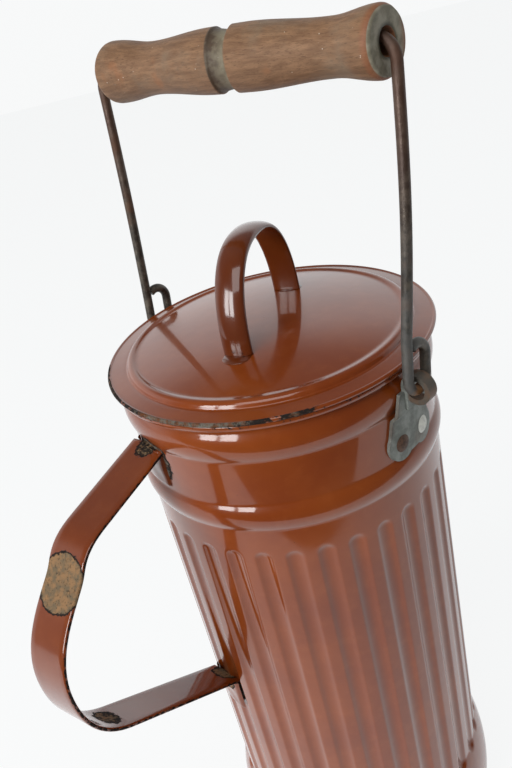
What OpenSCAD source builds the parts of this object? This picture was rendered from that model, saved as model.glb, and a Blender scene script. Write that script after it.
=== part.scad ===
// Enamelled hot water can: a fluted sheet body with a lift-off lid, a fixed strap handle
// and a wire bail with a turned wooden grip. Millimetres, +Z up.
// Origin: centre of the foot, on the plane it stands on. The bail's ears lie on the X axis.

/* [Body] */
// Height of the lid's rim over the floor
rim_h = 322; // [260:1:380]
// Outside diameter of the plain and fluted wall
body_d = 140; // [120:1:160]
// Thickness of the enamelled sheet
wall = 1; // [0.8:0.1:1.2]
// How far the foot swells out over the wall
foot_swell = 5; // [3:0.5:8]
// Height of the swollen foot's widest line
foot_mid = 25; // [20:1:30]
// Height at which the foot's swelling starts
foot_top = 56; // [50:1:64]
// Height of the folded seam under the wall's lower edge
seam_h = 1.1; // [0.8:0.1:1.6]
// Height of the floor plate's top
floor_h = 7; // [5:0.5:12]

/* [Neck] */
// How far the two rolled beads stand out
bead_rise = 2; // [1:0.1:2.2]
// Depth of the upper bead's middle under the rim
bead1_drop = 14; // [12:0.5:16]
// Half height of the upper bead
bead1_half = 7; // [5:0.5:7]
// Depth of the lower bead's middle under the rim
bead2_drop = 49.5; // [48:0.5:52]
// Half height of the lower bead
bead2_half = 6.5; // [5:0.5:6.5]
// Radius of the wire in the mouth's rolled edge
rim_wire_r = 0.9; // [0.7:0.1:1]
// Gap round that wire inside the rolled edge
rim_wire_gap = 0.3; // [0.2:0.05:0.4]

/* [Flutes] */
// Number of pressed flutes
flute_n = 32; // [20:1:34]
// Width of a flute
flute_w = 8.5; // [7:0.5:10]
// Depth of a flute
flute_deep = 1.5; // [0.8:0.1:1.8]
// Depth of the flutes' upper ends under the rim
flute_drop = 68; // [64:1:90]
// Height of the flutes' lower ends
flute_low = 52; // [48:1:80]
// Angle of the first flute from the X axis
flute_turn = 5.7; // [-6:0.1:6]

/* [Lid] */
// How far the lid's edge stands out over the wall
lid_over = 5; // [3:0.5:5.5]
// Radius of the lid's hemmed edge
hem_r = 1.1; // [0.9:0.1:1.3]
// How far the ring pressed round the dome lies inside the wall
ridge_in = 7; // [6:0.5:14]
// Height of that ring over the rim
ridge_h = 4.3; // [3.6:0.1:5]
// Height of the dome's middle over the rim
dome_h = 8.5; // [7:0.5:14]
// Depth of the collar that fits in the mouth
collar_deep = 14; // [8:0.5:20]
// Gap between the collar and the mouth
collar_gap = 0.7; // [0.4:0.1:1.2]
// Rest gap between the lid and the mouth's rolled edge
lid_gap = 0.35; // [0.3:0.05:0.5]

/* [Lid handle] */
// Distance between the handle's feet, middle to middle
knob_span = 65; // [50:1:80]
// Height of the handle's top over the rim
knob_h = 51; // [40:1:60]
// Width of the half-round strap
knob_w = 13; // [9:0.5:16]
// Thickness of the half-round strap
knob_t = 3.4; // [2.4:0.1:4.5]
// Turn of the lid and its handle
knob_turn = -68; // [-180:1:180]

/* [Side handle] */
// Width of the strap
strap_w = 20.5; // [16:0.5:24]
// Thickness of the strap
strap_t = 1.8; // [1.4:0.1:2.4]
// Direction in which the handle is fixed to the can
strap_at = -102.5; // [-110:0.5:-80]
// How far the strap is bent sideways from there
strap_skew = 20.5; // [0:0.5:24]
// Depth of the upper joint under the rim
strap_top = 22.5; // [22.5:0.5:26]
// Distance between the upper and the lower joint
strap_span = 146.5; // [120:0.5:170]
// Reach of the strap from the wall
strap_reach = 84.5; // [60:0.5:100]
// Depth of the strap's shoulder under the upper joint
shoulder_drop = 21.5; // [16:0.5:28]
// How far the shoulder stays behind the widest point
shoulder_in = 24.5; // [16:0.5:30]
// Depth of the widest point under the upper joint
belly_drop = 63.5; // [50:0.5:72]
// Depth of the strap's knee under the upper joint
knee_drop = 101.5; // [90:0.5:112]
// How far the knee stays behind the widest point
knee_in = 18.5; // [10:0.5:26]
// Length of the tabs that hold the strap to the wall
tab_l = 19; // [14:0.5:19]

/* [Ears] */
// Depth of the bail's pivot under the rim
pivot_drop = 4.6; // [4:0.05:8]
// Radius of the hole in each eye
eye_hole = 4.3; // [4.2:0.1:4.8]
// Thickness of the eye's strip
eye_t = 2.4; // [2.2:0.1:2.8]
// Width of the eye's strip
eye_w = 5.2; // [4:0.1:5.4]
// Thickness of the ear plates
ear_t = 1.4; // [1:0.1:1.8]
// Depth of the ear plates' upper ends under the rim
ear_top = 12; // [11:0.5:20]
// Width of the ear plates' upper ends
ear_top_w = 16; // [10:0.5:18]
// Depth of the ear rivets under the rim
rivet_drop = 36; // [34:0.5:37]
// Distance of the ear's middle from the eye, along the wall
ear_shift = 2.4; // [0:0.2:4]
// Distance between an ear's two rivets
rivet_gap = 15.2; // [13:0.2:17]
// Radius of the lobes round the rivets
lobe_r = 7.9; // [6:0.1:8.5]
// Radius of a rivet's shank
shank_r = 1.6; // [1.2:0.1:2]
// Radius of a rivet's head
head_r = 3.9; // [3.2:0.1:4.6]

/* [Bail] */
// Radius of the bail's wire
wire_r = 2.2; // [1.8:0.1:2.3]
// Height of the grip's axis over the pivot
bail_h = 121; // [110:0.5:150]
// How far the legs' tops stand out beyond the eyes
leg_out = -0.4; // [-1:0.1:4]
// How far the right leg bows out between its ends
right_bow = 1.5; // [0:0.1:3]
// How far the left leg bows out between its ends
left_bow = -0.8; // [-2:0.1:3]
// Running gap between the closed loops and the eyes they hang in
loop_gap = 0.9; // [0.35:0.05:0.95]
// Length of the left loop's straight sides
left_loop = 10.3; // [7:0.1:12]
// Length of the right loop's straight sides
right_loop = 7.6; // [7:0.1:12]
// Radius of the upper bends
bend_r = 9; // [5:0.5:10]
// Lean of the bail as it stands
bail_lean = 7.5; // [0:0.1:12]
// Twist of the worn bail, seen from above
bail_twist = 2.4; // [0:0.1:4]

/* [Grip] */
// How much shorter the grip is than the room between the legs
grip_play = 10.3; // [9:0.1:16]
// Radius of the grip at its left end
left_end = 13; // [11.5:0.1:14]
// Radius of the grip at its right end
right_end = 12.1; // [11.5:0.1:14]
// Radius of the grip's swellings beside the groove
grip_mid = 12.5; // [11.5:0.1:14]
// Radius of the grip's left waist
left_waist = 10.6; // [9:0.1:11]
// Radius of the grip's right waist
right_waist = 10.2; // [9:0.1:11]
// Radius of the bore for the wire
bore_r = 4.8; // [3.2:0.1:5]
// Rest gap between the wire and the top of the bore
bore_gap = 0.35; // [0.35:0.05:0.5]
// Width of the groove round the grip
groove_w = 9; // [5:0.5:12]
// Depth of the groove at its right edge
groove_deep = 1.8; // [0.8:0.1:2.4]
// How far the groove lies left of the grip's middle
groove_off = 1.7; // [-4:0.1:4]
// Slant at which the groove was cut
groove_tilt = 19; // [0:1:22]
// How far the grip has slid along the wire
grip_slid = 4.3; // [-4:0.1:4.4]

/* [Hidden] */
$fn = 96;

// Colours as the eye takes them
enamel = "#7a3113";
iron = "#5a4a40";
zinc = "#7c827c";
white_metal = "#e2e2d8";
worn_wire = "#50473f";
beech = "#94714f";

body_r = body_d / 2;
lid_r = body_r + lid_over;
ridge_r = body_r - ridge_in;
foot_max = body_r + foot_swell;
reach = foot_max + lid_over;

// Radius of an arc that rises by h over a half chord c
function arc_r(c, h) = (c * c + h * h) / (2 * h);

bead1_r = arc_r(bead1_half, bead_rise);
bead2_r = arc_r(bead2_half, bead_rise);
foot_r = arc_r(foot_top - foot_mid, foot_swell);
foot_cx = foot_max - foot_r;

// Outside radius of the foot at height z
function foot_at(z) = foot_cx + sqrt(foot_r * foot_r - pow(z - foot_mid, 2));

curl_r = rim_wire_r + rim_wire_gap + wall;
curl_x = body_r - wall + curl_r;
flange_edge = 0.5;
flange_in = 1.9;
ridge_t = 2.6;
flange_slope = (flange_in - flange_edge) / (lid_r - hem_r - ridge_r);
flange_at_curl = flange_edge + flange_slope * (lid_r - hem_r - curl_x) - wall;
curl_z = rim_h + flange_at_curl - lid_gap - curl_r;
dome_r = arc_r(ridge_r - 2, dome_h - ridge_h + 0.8);
far = 400;

// Area under the body's outer line, drawn in by d all over
module body_area(d) {
    square([body_r - d, curl_z]);
    translate([body_r + bead_rise - bead1_r, rim_h - bead1_drop])
        circle(r = bead1_r - d);
    translate([body_r + bead_rise - bead2_r, rim_h - bead2_drop])
        circle(r = bead2_r - d);
    intersection() {
        translate([foot_cx, foot_mid])
            circle(r = foot_r - d);
        translate([0, 0])
            square([reach, foot_top + 10]);
    }
}

// Right half of a drawing, from height z0 up
module right_half(z0) {
    intersection() {
        children();
        translate([0, z0])
            square([far, far]);
    }
}

module body_solid() {
    rotate_extrude()
        right_half(0)
            body_area(0);
}

// The flutes' channels are arcs of this radius round axes at flute_x
flute_ball = arc_r(flute_w / 2, flute_deep);
flute_x = body_r - flute_deep + flute_ball;
flute_z1 = flute_low + flute_w / 2;
flute_z2 = rim_h - flute_drop - flute_w / 2;
flute_ring = flute_w / 2 + 1;
module at_flutes() {
    for (i = [0 : flute_n - 1])
        rotate([0, 0, flute_turn + i * 360 / flute_n])
            translate([flute_x, 0, 0])
                children();
}

// Cross-section of the fluted body, drawn in by d all over
module fluted_area(d) {
    difference() {
        circle(r = body_r - d);
        at_flutes()
            circle(r = flute_ball + d);
    }
}

// The fluted sheet between the flutes' rounded ends
module flute_wall() {
    translate([0, 0, flute_z1])
        linear_extrude(flute_z2 - flute_z1)
            difference() {
                fluted_area(0);
                fluted_area(wall);
            }
}

// Places a rivet's axis: side is 1 for the right ear, -1 for the left, k is -1 or 1
module at_rivet(side, k) {
    turn = (ear_shift + k * rivet_gap / 2) / body_r * 180 / PI;
    rotate([0, 0, (side > 0 ? 0 : 180) + turn])
        translate([0, 0, rim_h - rivet_drop])
            rotate([0, 90, 0])
                children();
}

module rivet_holes(side) {
    for (k = [-1, 1])
        at_rivet(side, k)
            cylinder(r = shank_r + 0.05, h = reach);
}

// Section of the rolled edge: three quarters of a tube round the rim wire
module curl_area() {
    translate([curl_x, curl_z])
        difference() {
            circle(r = curl_r);
            circle(r = rim_wire_r + rim_wire_gap);
            translate([0, -curl_r])
                square([curl_r, curl_r - rim_wire_r / 2]);
        }
}

// Section of the sheet above and below the flutes, thicker where their ends run out
module sheet_area() {
    difference() {
        union() {
            difference() {
                body_area(0);
                body_area(wall);
                square([body_r - wall, rim_h]);
            }
            for (z = [flute_z1 - flute_ring, flute_z2])
                translate([body_r - wall - flute_deep, z])
                    square([flute_deep + wall / 2, flute_ring]);
        }
        translate([0, flute_z1])
            square([reach, flute_z2 - flute_z1]);
    }
}

module can_shell() color(enamel) {
    difference() {
        rotate_extrude() {
            right_half(seam_h)
                sheet_area();
            curl_area();
        }
        at_flutes()
            for (z = [flute_z1, flute_z2])
                translate([0, 0, z])
                    sphere(r = flute_ball);
        rivet_holes(1);
        rivet_holes(-1);
    }
    flute_wall();
}

module rim_wire() color(iron) {
    rotate_extrude()
        translate([curl_x, curl_z])
            circle(r = rim_wire_r);
}

pan_r = foot_at(seam_h) - wall - 0.1;
module base_pan() color(enamel) {
    rotate_extrude()
        union() {
            translate([0, floor_h - wall])
                square([pan_r, wall]);
            translate([pan_r - wall, 0])
                square([wall, floor_h]);
            translate([pan_r - wall, 0])
                square([foot_at(0) + 0.5 - pan_r + wall, seam_h]);
        }
}

// A point on a cubic curve through a and d, drawn towards b and c
function bez(a, b, c, d, t) =
    pow(1 - t, 3) * a + 3 * pow(1 - t, 2) * t * b + 3 * (1 - t) * t * t * c + t * t * t * d;

// The strap's middle line, from the upper joint out, down and back to the lower joint:
// x runs out from the joint's place on the wall, y is the height over the upper joint
strap_kink = [strap_reach - shoulder_in, -shoulder_drop];
strap_start = strap_kink + [-16, 12];
strap_out = [strap_reach, -belly_drop];
strap_low = [strap_reach - knee_in, -knee_drop];
strap_line = concat(
    [[-8, 1.7], strap_start],
    [for (i = [1 : 4]) bez(strap_start, strap_kink + [-8, 10],
        strap_kink + [-4, 7], strap_kink, i / 4)],
    [for (i = [1 : 8]) bez(strap_kink, strap_kink + [10, -10],
        strap_out + [0, 22], strap_out, i / 8)],
    [for (i = [1 : 8]) bez(strap_out, strap_out - [0, 20],
        strap_low + [10, 7], strap_low, i / 8)],
    [[-8, -strap_span - 5.5]]);

// Unit normal of a line of points at point i
function along(p, i) = p[min(i + 1, len(p) - 1)] - p[max(i - 1, 0)];
function normal(p, i) = [-along(p, i).y, along(p, i).x] / norm(along(p, i));
function beside(p, d) = [for (i = [0 : len(p) - 1]) p[i] + d * normal(p, i)];
function back(p) = [for (i = [len(p) - 1 : -1 : 0]) p[i]];

// A tab of the strap's end, lying on the wall from height z down
module tab(z) {
    intersection() {
        translate([0, 0, z - tab_l])
            difference() {
                cylinder(r = body_r + strap_t, h = tab_l);
                translate([0, 0, -1])
                    cylinder(r = body_r, h = tab_l + 2);
            }
        rotate([0, 0, strap_at])
            translate([0, -strap_w / 2, z - tab_l])
                cube([reach, strap_w, tab_l]);
    }
}

module side_handle() color(enamel) {
    joint_z = rim_h - strap_top;
    difference() {
        union() {
            rotate([0, 0, strap_at])
                translate([body_r, 0, joint_z])
                    rotate([0, 0, strap_skew])
                        rotate([90, 0, 0])
                            translate([0, 0, -strap_w / 2])
                                linear_extrude(strap_w)
                                    polygon(concat(beside(strap_line, strap_t / 2),
                                        back(beside(strap_line, -strap_t / 2))));
            tab(joint_z + strap_t / 2);
            tab(joint_z - strap_span + strap_t / 2);
        }
        body_solid();
    }
}

// One ear as it lies on the right of the can: a plate on the wall, joggled over the upper
// bead, and the eye rolled from its end
eye_r = eye_hole + eye_t;
eye_z = rim_h - pivot_drop - eye_t / 2 - eye_hole;
ear_in = body_r + 0.15;
bead_clear = body_r + bead_rise + 0.3;
eye_x = bead_clear + eye_r;
joggle_z = rim_h - bead1_drop - bead1_half - 0.6;
module ear_outline() {
    half = rivet_gap / 2;
    translate([ear_shift, rim_h - rivet_drop]) {
        for (k = [-1, 1])
            translate([k * half, 0])
                circle(r = lobe_r);
        polygon([[-half - lobe_r, 0], [-half, 1.5 - lobe_r], [half, 1.5 - lobe_r],
            [half + lobe_r, 0], [ear_top_w / 2, rivet_drop - ear_top],
            [-ear_top_w / 2, rivet_drop - ear_top]]);
    }
}

module ear_plate() {
    low = rim_h - rivet_drop - lobe_r - 1;
    high = rim_h - ear_top + 1;
    intersection() {
        rotate_extrude()
            polygon([[ear_in, low], [ear_in + ear_t, low], [ear_in + ear_t, joggle_z - 2.2],
                [bead_clear + ear_t, joggle_z], [bead_clear + ear_t, high],
                [bead_clear, high], [bead_clear, joggle_z + 0.6], [ear_in, joggle_z - 1.6]]);
        rotate([90, 0, 90])
            linear_extrude(reach)
                ear_outline();
    }
}

module ear() {
    difference() {
        union() {
            ear_plate();
            difference() {
                translate([bead_clear, -eye_w / 2, joggle_z + 1])
                    cube([eye_t, eye_w, eye_z - joggle_z - 1]);
                translate([eye_x, eye_w, eye_z])
                    rotate([90, 0, 0])
                        cylinder(r = eye_hole, h = 2 * eye_w);
            }
            translate([eye_x, eye_w / 2, eye_z])
                rotate([90, 0, 0])
                    difference() {
                        cylinder(r = eye_r, h = eye_w);
                        translate([0, 0, -1])
                            cylinder(r = eye_hole, h = eye_w + 2);
                    }
        }
        rivet_holes(1);
    }
}

module ear_right() color(zinc) ear();

module ear_left() color(zinc) rotate([0, 0, 180]) ear();

// A rivet along +Z: a low domed head over the plate and a flat tail in the can
head_h = 1.3;
tail_h = 1;
tail_r = 3;
module rivet() {
    over = ear_in + ear_t;
    cap_r = arc_r(head_r, head_h);
    under = sqrt(pow(body_r - wall, 2) - tail_r * tail_r);
    translate([0, 0, under - 0.1])
        cylinder(r = shank_r, h = over - under + 0.2);
    translate([0, 0, under - tail_h])
        cylinder(r = tail_r, h = tail_h);
    intersection() {
        translate([0, 0, over + head_h - cap_r])
            sphere(r = cap_r);
        translate([0, 0, over])
            cylinder(r = head_r + 1, h = head_h + 1);
    }
}

module ear_rivets_iron() color(iron) {
    at_rivet(1, -1) rivet();
    at_rivet(-1, -1) rivet();
    at_rivet(-1, 1) rivet();
}

module ear_rivet_white() color(white_metal) at_rivet(1, 1) rivet();

// Area under the lid's upper face, lowered by d all over
module lid_area(d) {
    intersection() {
        translate([0, dome_h - dome_r])
            circle(r = dome_r - d, $fn = 360);
        translate([0, -far / 2])
            square([ridge_r, far]);
    }
    translate([ridge_r, ridge_h - ridge_t])
        circle(r = ridge_t - d);
    polygon([[0, -far / 2], [lid_r - hem_r, -far / 2], [lid_r - hem_r, flange_edge - d],
        [ridge_r, flange_in - d], [0, flange_in - d]]);
}

module lid_shell() color(enamel) {
    translate([0, 0, rim_h])
        rotate_extrude()
            right_half(-far / 2)
                union() {
                    difference() {
                        lid_area(0);
                        lid_area(wall);
                    }
                    translate([lid_r - hem_r, 0])
                        circle(r = hem_r);
                }
}

collar_r = body_r - wall - collar_gap;
module lid_collar() color(enamel) {
    translate([0, 0, rim_h])
        rotate_extrude()
            intersection() {
                lid_area(wall);
                translate([collar_r - wall, -collar_deep])
                    square([wall, collar_deep + 10]);
            }
}

// A closed bar through rings of points
module tube(rings) {
    n = len(rings);
    m = len(rings[0]);
    polyhedron(
        points = [for (r = rings) each r],
        faces = concat(
            [[for (j = [0 : m - 1]) j]],
            [[for (j = [m - 1 : -1 : 0]) (n - 1) * m + j]],
            [for (i = [0 : n - 2], j = [0 : m - 1])
                [i * m + j, (i + 1) * m + j, (i + 1) * m + (j + 1) % m]],
            [for (i = [0 : n - 2], j = [0 : m - 1])
                [i * m + j, (i + 1) * m + (j + 1) % m, i * m + (j + 1) % m]]));
}

// Ring of a section at point i of a line in the XZ plane: the section's x lies along Y,
// its y along the line's own normal
function ring3(p, i, sec) = [for (s = sec)
    [p[i].x + s.y * normal(p, i).x, s.x, p[i].y + s.y * normal(p, i).y]];

// Half-round section of the lid's handle, the round side outwards
knob_sec = concat(
    [for (a = [0 : 15 : 180]) [knob_w / 2 * cos(a), knob_t * (0.32 + 0.68 * sin(a)) - knob_t / 2]],
    [[-knob_w / 2, -knob_t * 0.42], [-knob_w * 0.42, -knob_t / 2],
        [knob_w * 0.42, -knob_t / 2], [knob_w / 2, -knob_t * 0.42]]);
knob_foot = dome_h - (dome_r - sqrt(dome_r * dome_r - pow(knob_span / 2, 2)));
knob_rise = knob_h - knob_t / 2 - knob_foot;
knob_pow = 0.86;
knob_line = [for (i = [0 : 32])
    let (a = 180 * i / 32, c = cos(180 - a))
        [sign(c) * pow(abs(c), knob_pow) * knob_span / 2,
            knob_foot + knob_rise * pow(sin(a), knob_pow)]];
module lid_handle() color(enamel) {
    translate([0, 0, rim_h])
        rotate([0, 0, knob_turn])
            difference() {
                union() {
                    tube([for (i = [0 : len(knob_line) - 1]) ring3(knob_line, i, knob_sec)]);
                    for (s = [-1, 1])
                        translate([s * knob_span / 2, 0, knob_foot - 1.6])
                            cylinder(r = knob_w / 2 + 0.6, h = 2.2);
                }
                rotate_extrude()
                    right_half(-far / 2)
                        lid_area(0);
            }
}

// The bail's wire as one bent bar in its own frame, with the pivot at height 0
wire_h = bail_h + bore_r - bore_gap - wire_r;
wire_n = 16;
loop_a = norm([eye_t, eye_w]) / 2 + loop_gap + wire_r;
leg_x = eye_x + leg_out;
bend_x = leg_x - bend_r;
function loop_l(side) = side > 0 ? right_loop : left_loop;
function leg_bow(side) = side > 0 ? right_bow : left_bow;

// Ring of points round the wire at point p, between the directions u and v
function wire_ring(p, u, v) = [for (j = [0 : wire_n - 1])
    p + wire_r * (cos(j * 360 / wire_n) * u + sin(j * 360 / wire_n) * v)];

// Ring of a loop at angle g, seen along the X axis, round a middle at height z
function loop_ring(side, z, g) = wire_ring(
    [side * eye_x, loop_a * cos(g), z + loop_a * sin(g)],
    [side, 0, 0], [0, -cos(g), -sin(g)]);

// The loop's free end, cut off flush beside the leg
loop_shut = acos(-(loop_a - wire_r - 0.25) / loop_a);
function loop_tip(side) = wire_ring(
    [side * eye_x, loop_a * cos(loop_shut), loop_l(side) + loop_a * sin(loop_shut)],
    [side, 0, 0], [0, 0, -1 / sin(loop_shut)]);

// Ring of a leg at share t of its way from the loop's top to the upper bend
function leg_foot(side) = loop_l(side) + loop_a + wire_r;
function leg_at(side, t) = [
    side * (eye_x + t * leg_out + leg_bow(side) * sin(180 * t)),
    -loop_a + t * side * leg_x * tan(bail_twist),
    leg_foot(side) + t * (wire_h - bend_r - leg_foot(side))];
function leg_ring(side, t) = wire_ring(leg_at(side, t), [side, 0, 0], [0, 1, 0]);

// Ring of an upper bend at angle g
function bend_ring(side, g) = wire_ring(
    [side * (bend_x + bend_r * cos(g)),
        side * (bend_x + bend_r * cos(g)) * tan(bail_twist) - loop_a,
        wire_h - bend_r + bend_r * sin(g)],
    [side * cos(g), 0, sin(g)], [0, 1, 0]);

shut_step = (loop_shut - 18) / 9;
wire_rings = concat(
    [loop_tip(1)],
    [for (i = [9 : -1 : 0]) loop_ring(1, loop_l(1), i * shut_step)],
    [for (i = [0 : 15]) loop_ring(1, 0, -12 * i)],
    [for (i = [0 : 7]) leg_ring(1, i / 8)],
    [for (i = [0 : 8]) bend_ring(1, 11.25 * i)],
    [for (i = [8 : -1 : 0]) bend_ring(-1, 11.25 * i)],
    [for (i = [7 : -1 : 0]) leg_ring(-1, i / 8)],
    [for (i = [15 : -1 : 0]) loop_ring(-1, 0, -12 * i)],
    [for (i = [0 : 9]) loop_ring(-1, loop_l(-1), i * shut_step)],
    [loop_tip(-1)]);

// Puts a piece of the bail where the bail stands
module bail_place() {
    translate([0, 0, rim_h - pivot_drop])
        rotate([-bail_lean, 0, 0])
            children();
}

module bail_wire() color(worn_wire) {
    bail_place()
        tube(wire_rings);
}

// The grip's outer line from its middle to an end, by cosine waves
grip_l = 2 * (leg_x - wire_r) - grip_play;
grip_peak = 9;
left_low = grip_l * 0.3;
right_low = grip_l * 0.355;
grip_hi = grip_l / 2 - 2.5;
function wave(a, b, t) = (a + b) / 2 + (a - b) / 2 * cos(180 * t);
function grip_r(t, low, waist, end) =
    t < grip_peak ? grip_mid :
    t < low ? wave(grip_mid, waist, (t - grip_peak) / (low - grip_peak)) :
    t < grip_hi ? wave(waist, end, (t - low) / (grip_hi - low)) :
    end - 1.3 * pow((t - grip_hi) / (grip_l / 2 - grip_hi), 2);
grip_step = (grip_l / 2 - grip_peak) / 36;
grip_out = [for (i = [0 : 36]) grip_peak + i * grip_step];

// Section of the groove: a long slope down to the right, then a step up
module groove_area() {
    polygon([[grip_mid + 1, -groove_w / 2 - 1.5], [grip_mid + 1, groove_w / 2 + 0.6],
        [grip_mid - groove_deep, groove_w / 2], [grip_mid - groove_deep, groove_w / 2 - 1.5],
        [grip_mid, -groove_w / 2]]);
}

module grip() color(beech) {
    bail_place()
        translate([0, -loop_a, bail_h])
            rotate([0, 0, bail_twist])
                translate([grip_slid, 0, 0])
                    rotate([0, 90, 0])
                        difference() {
                            rotate_extrude()
                                polygon(concat([[0, -grip_l / 2]],
                                    [for (t = back(grip_out))
                                        [grip_r(t, left_low, left_waist, left_end), -t]],
                                    [for (t = grip_out)
                                        [grip_r(t, right_low, right_waist, right_end), t]],
                                    [[0, grip_l / 2]]));
                            translate([0, 0, -groove_off])
                                rotate([-groove_tilt, 0, 0])
                                    rotate_extrude()
                                        groove_area();
                            translate([0, 0, -grip_l])
                                cylinder(r = bore_r, h = 2 * grip_l);
                        }
}

can_shell();
rim_wire();
base_pan();
side_handle();
ear_right();
ear_left();
ear_rivets_iron();
ear_rivet_white();
lid_shell();
lid_collar();
lid_handle();
bail_wire();
grip();
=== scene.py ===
"""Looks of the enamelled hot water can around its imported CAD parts. Metres, +Z up."""
import math

import bpy
import numpy as np
from mathutils import Matrix, Vector


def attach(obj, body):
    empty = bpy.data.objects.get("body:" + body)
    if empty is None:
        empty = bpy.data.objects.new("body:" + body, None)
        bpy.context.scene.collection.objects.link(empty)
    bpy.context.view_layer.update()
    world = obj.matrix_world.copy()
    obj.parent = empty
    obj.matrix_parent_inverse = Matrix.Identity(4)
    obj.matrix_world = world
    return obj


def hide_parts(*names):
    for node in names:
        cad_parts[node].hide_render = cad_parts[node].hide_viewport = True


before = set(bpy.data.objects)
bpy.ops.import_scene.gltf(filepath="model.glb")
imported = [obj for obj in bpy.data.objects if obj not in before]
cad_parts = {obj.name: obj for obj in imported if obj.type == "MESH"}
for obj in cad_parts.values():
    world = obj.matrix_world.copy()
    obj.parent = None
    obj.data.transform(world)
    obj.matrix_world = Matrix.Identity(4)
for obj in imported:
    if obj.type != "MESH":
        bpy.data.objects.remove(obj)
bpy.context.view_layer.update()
MM = 0.001

# Sizes of the construction, in millimetres
RIM_H = 322.0
BODY_R = 70.0
WALL = 1.0
FLUTES = 32
FLUTE_TURN = 5.7


# Meshes
def add_mesh(name, verts, faces, body, nodes, material):
    """A mesh from millimetre points that rides on a body and stands for CAD nodes."""
    me = bpy.data.meshes.new(name)
    me.from_pydata([tuple(v) for v in np.asarray(verts) * MM], [], [tuple(f) for f in faces])
    me.validate()
    ob = bpy.data.objects.new(name, me)
    bpy.context.scene.collection.objects.link(ob)
    me.polygons.foreach_set("use_smooth", [True] * len(me.polygons))
    me.materials.append(material)
    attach(ob, body)
    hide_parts(*nodes)
    return ob


def grid_faces(rows, cols, wrap_rows, wrap_cols):
    """Four-sided faces over rows of points, closed round either way if asked."""
    r = np.arange(rows if wrap_rows else rows - 1)
    c = np.arange(cols if wrap_cols else cols - 1)
    R, C = np.meshgrid(r, c, indexing="ij")
    R2, C2 = (R + 1) % rows, (C + 1) % cols
    f = np.stack([R * cols + C, R * cols + C2, R2 * cols + C2, R2 * cols + C], -1)
    return f.reshape(-1, 4).tolist()


def revolve(profile, cols):
    """Points and faces of a closed (r, z) outline turned round the Z axis."""
    p = np.asarray(profile, float)
    a = np.arange(cols) * 2 * np.pi / cols
    x = p[:, 0, None] * np.cos(a)
    y = p[:, 0, None] * np.sin(a)
    z = np.repeat(p[:, 1, None], cols, 1)
    v = np.stack([x, y, z], -1).reshape(-1, 3)
    return v, grid_faces(len(p), cols, True, True)


def arc(cx, cz, r, a0, a1, n):
    """Points on a circle between two angles in degrees."""
    t = np.radians(np.linspace(a0, a1, n))
    return [(cx + r * math.cos(k), cz + r * math.sin(k)) for k in t]


def soften(p, passes):
    """Rounds the corners of a line of points and keeps its two ends."""
    p = np.asarray(p, float).copy()
    for _ in range(passes):
        p[1:-1] = 0.25 * p[:-2] + 0.5 * p[1:-1] + 0.25 * p[2:]
    return p


def resample(p, step):
    """Points along a polyline at an even step, corners kept as near points."""
    p = np.asarray(p, float)
    s = np.concatenate([[0], np.cumsum(np.linalg.norm(np.diff(p, axis=0), axis=1))])
    n = max(2, int(round(s[-1] / step)) + 1)
    t = np.linspace(0, s[-1], n)
    return np.stack([np.interp(t, s, p[:, k]) for k in range(p.shape[1])], -1)


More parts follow.
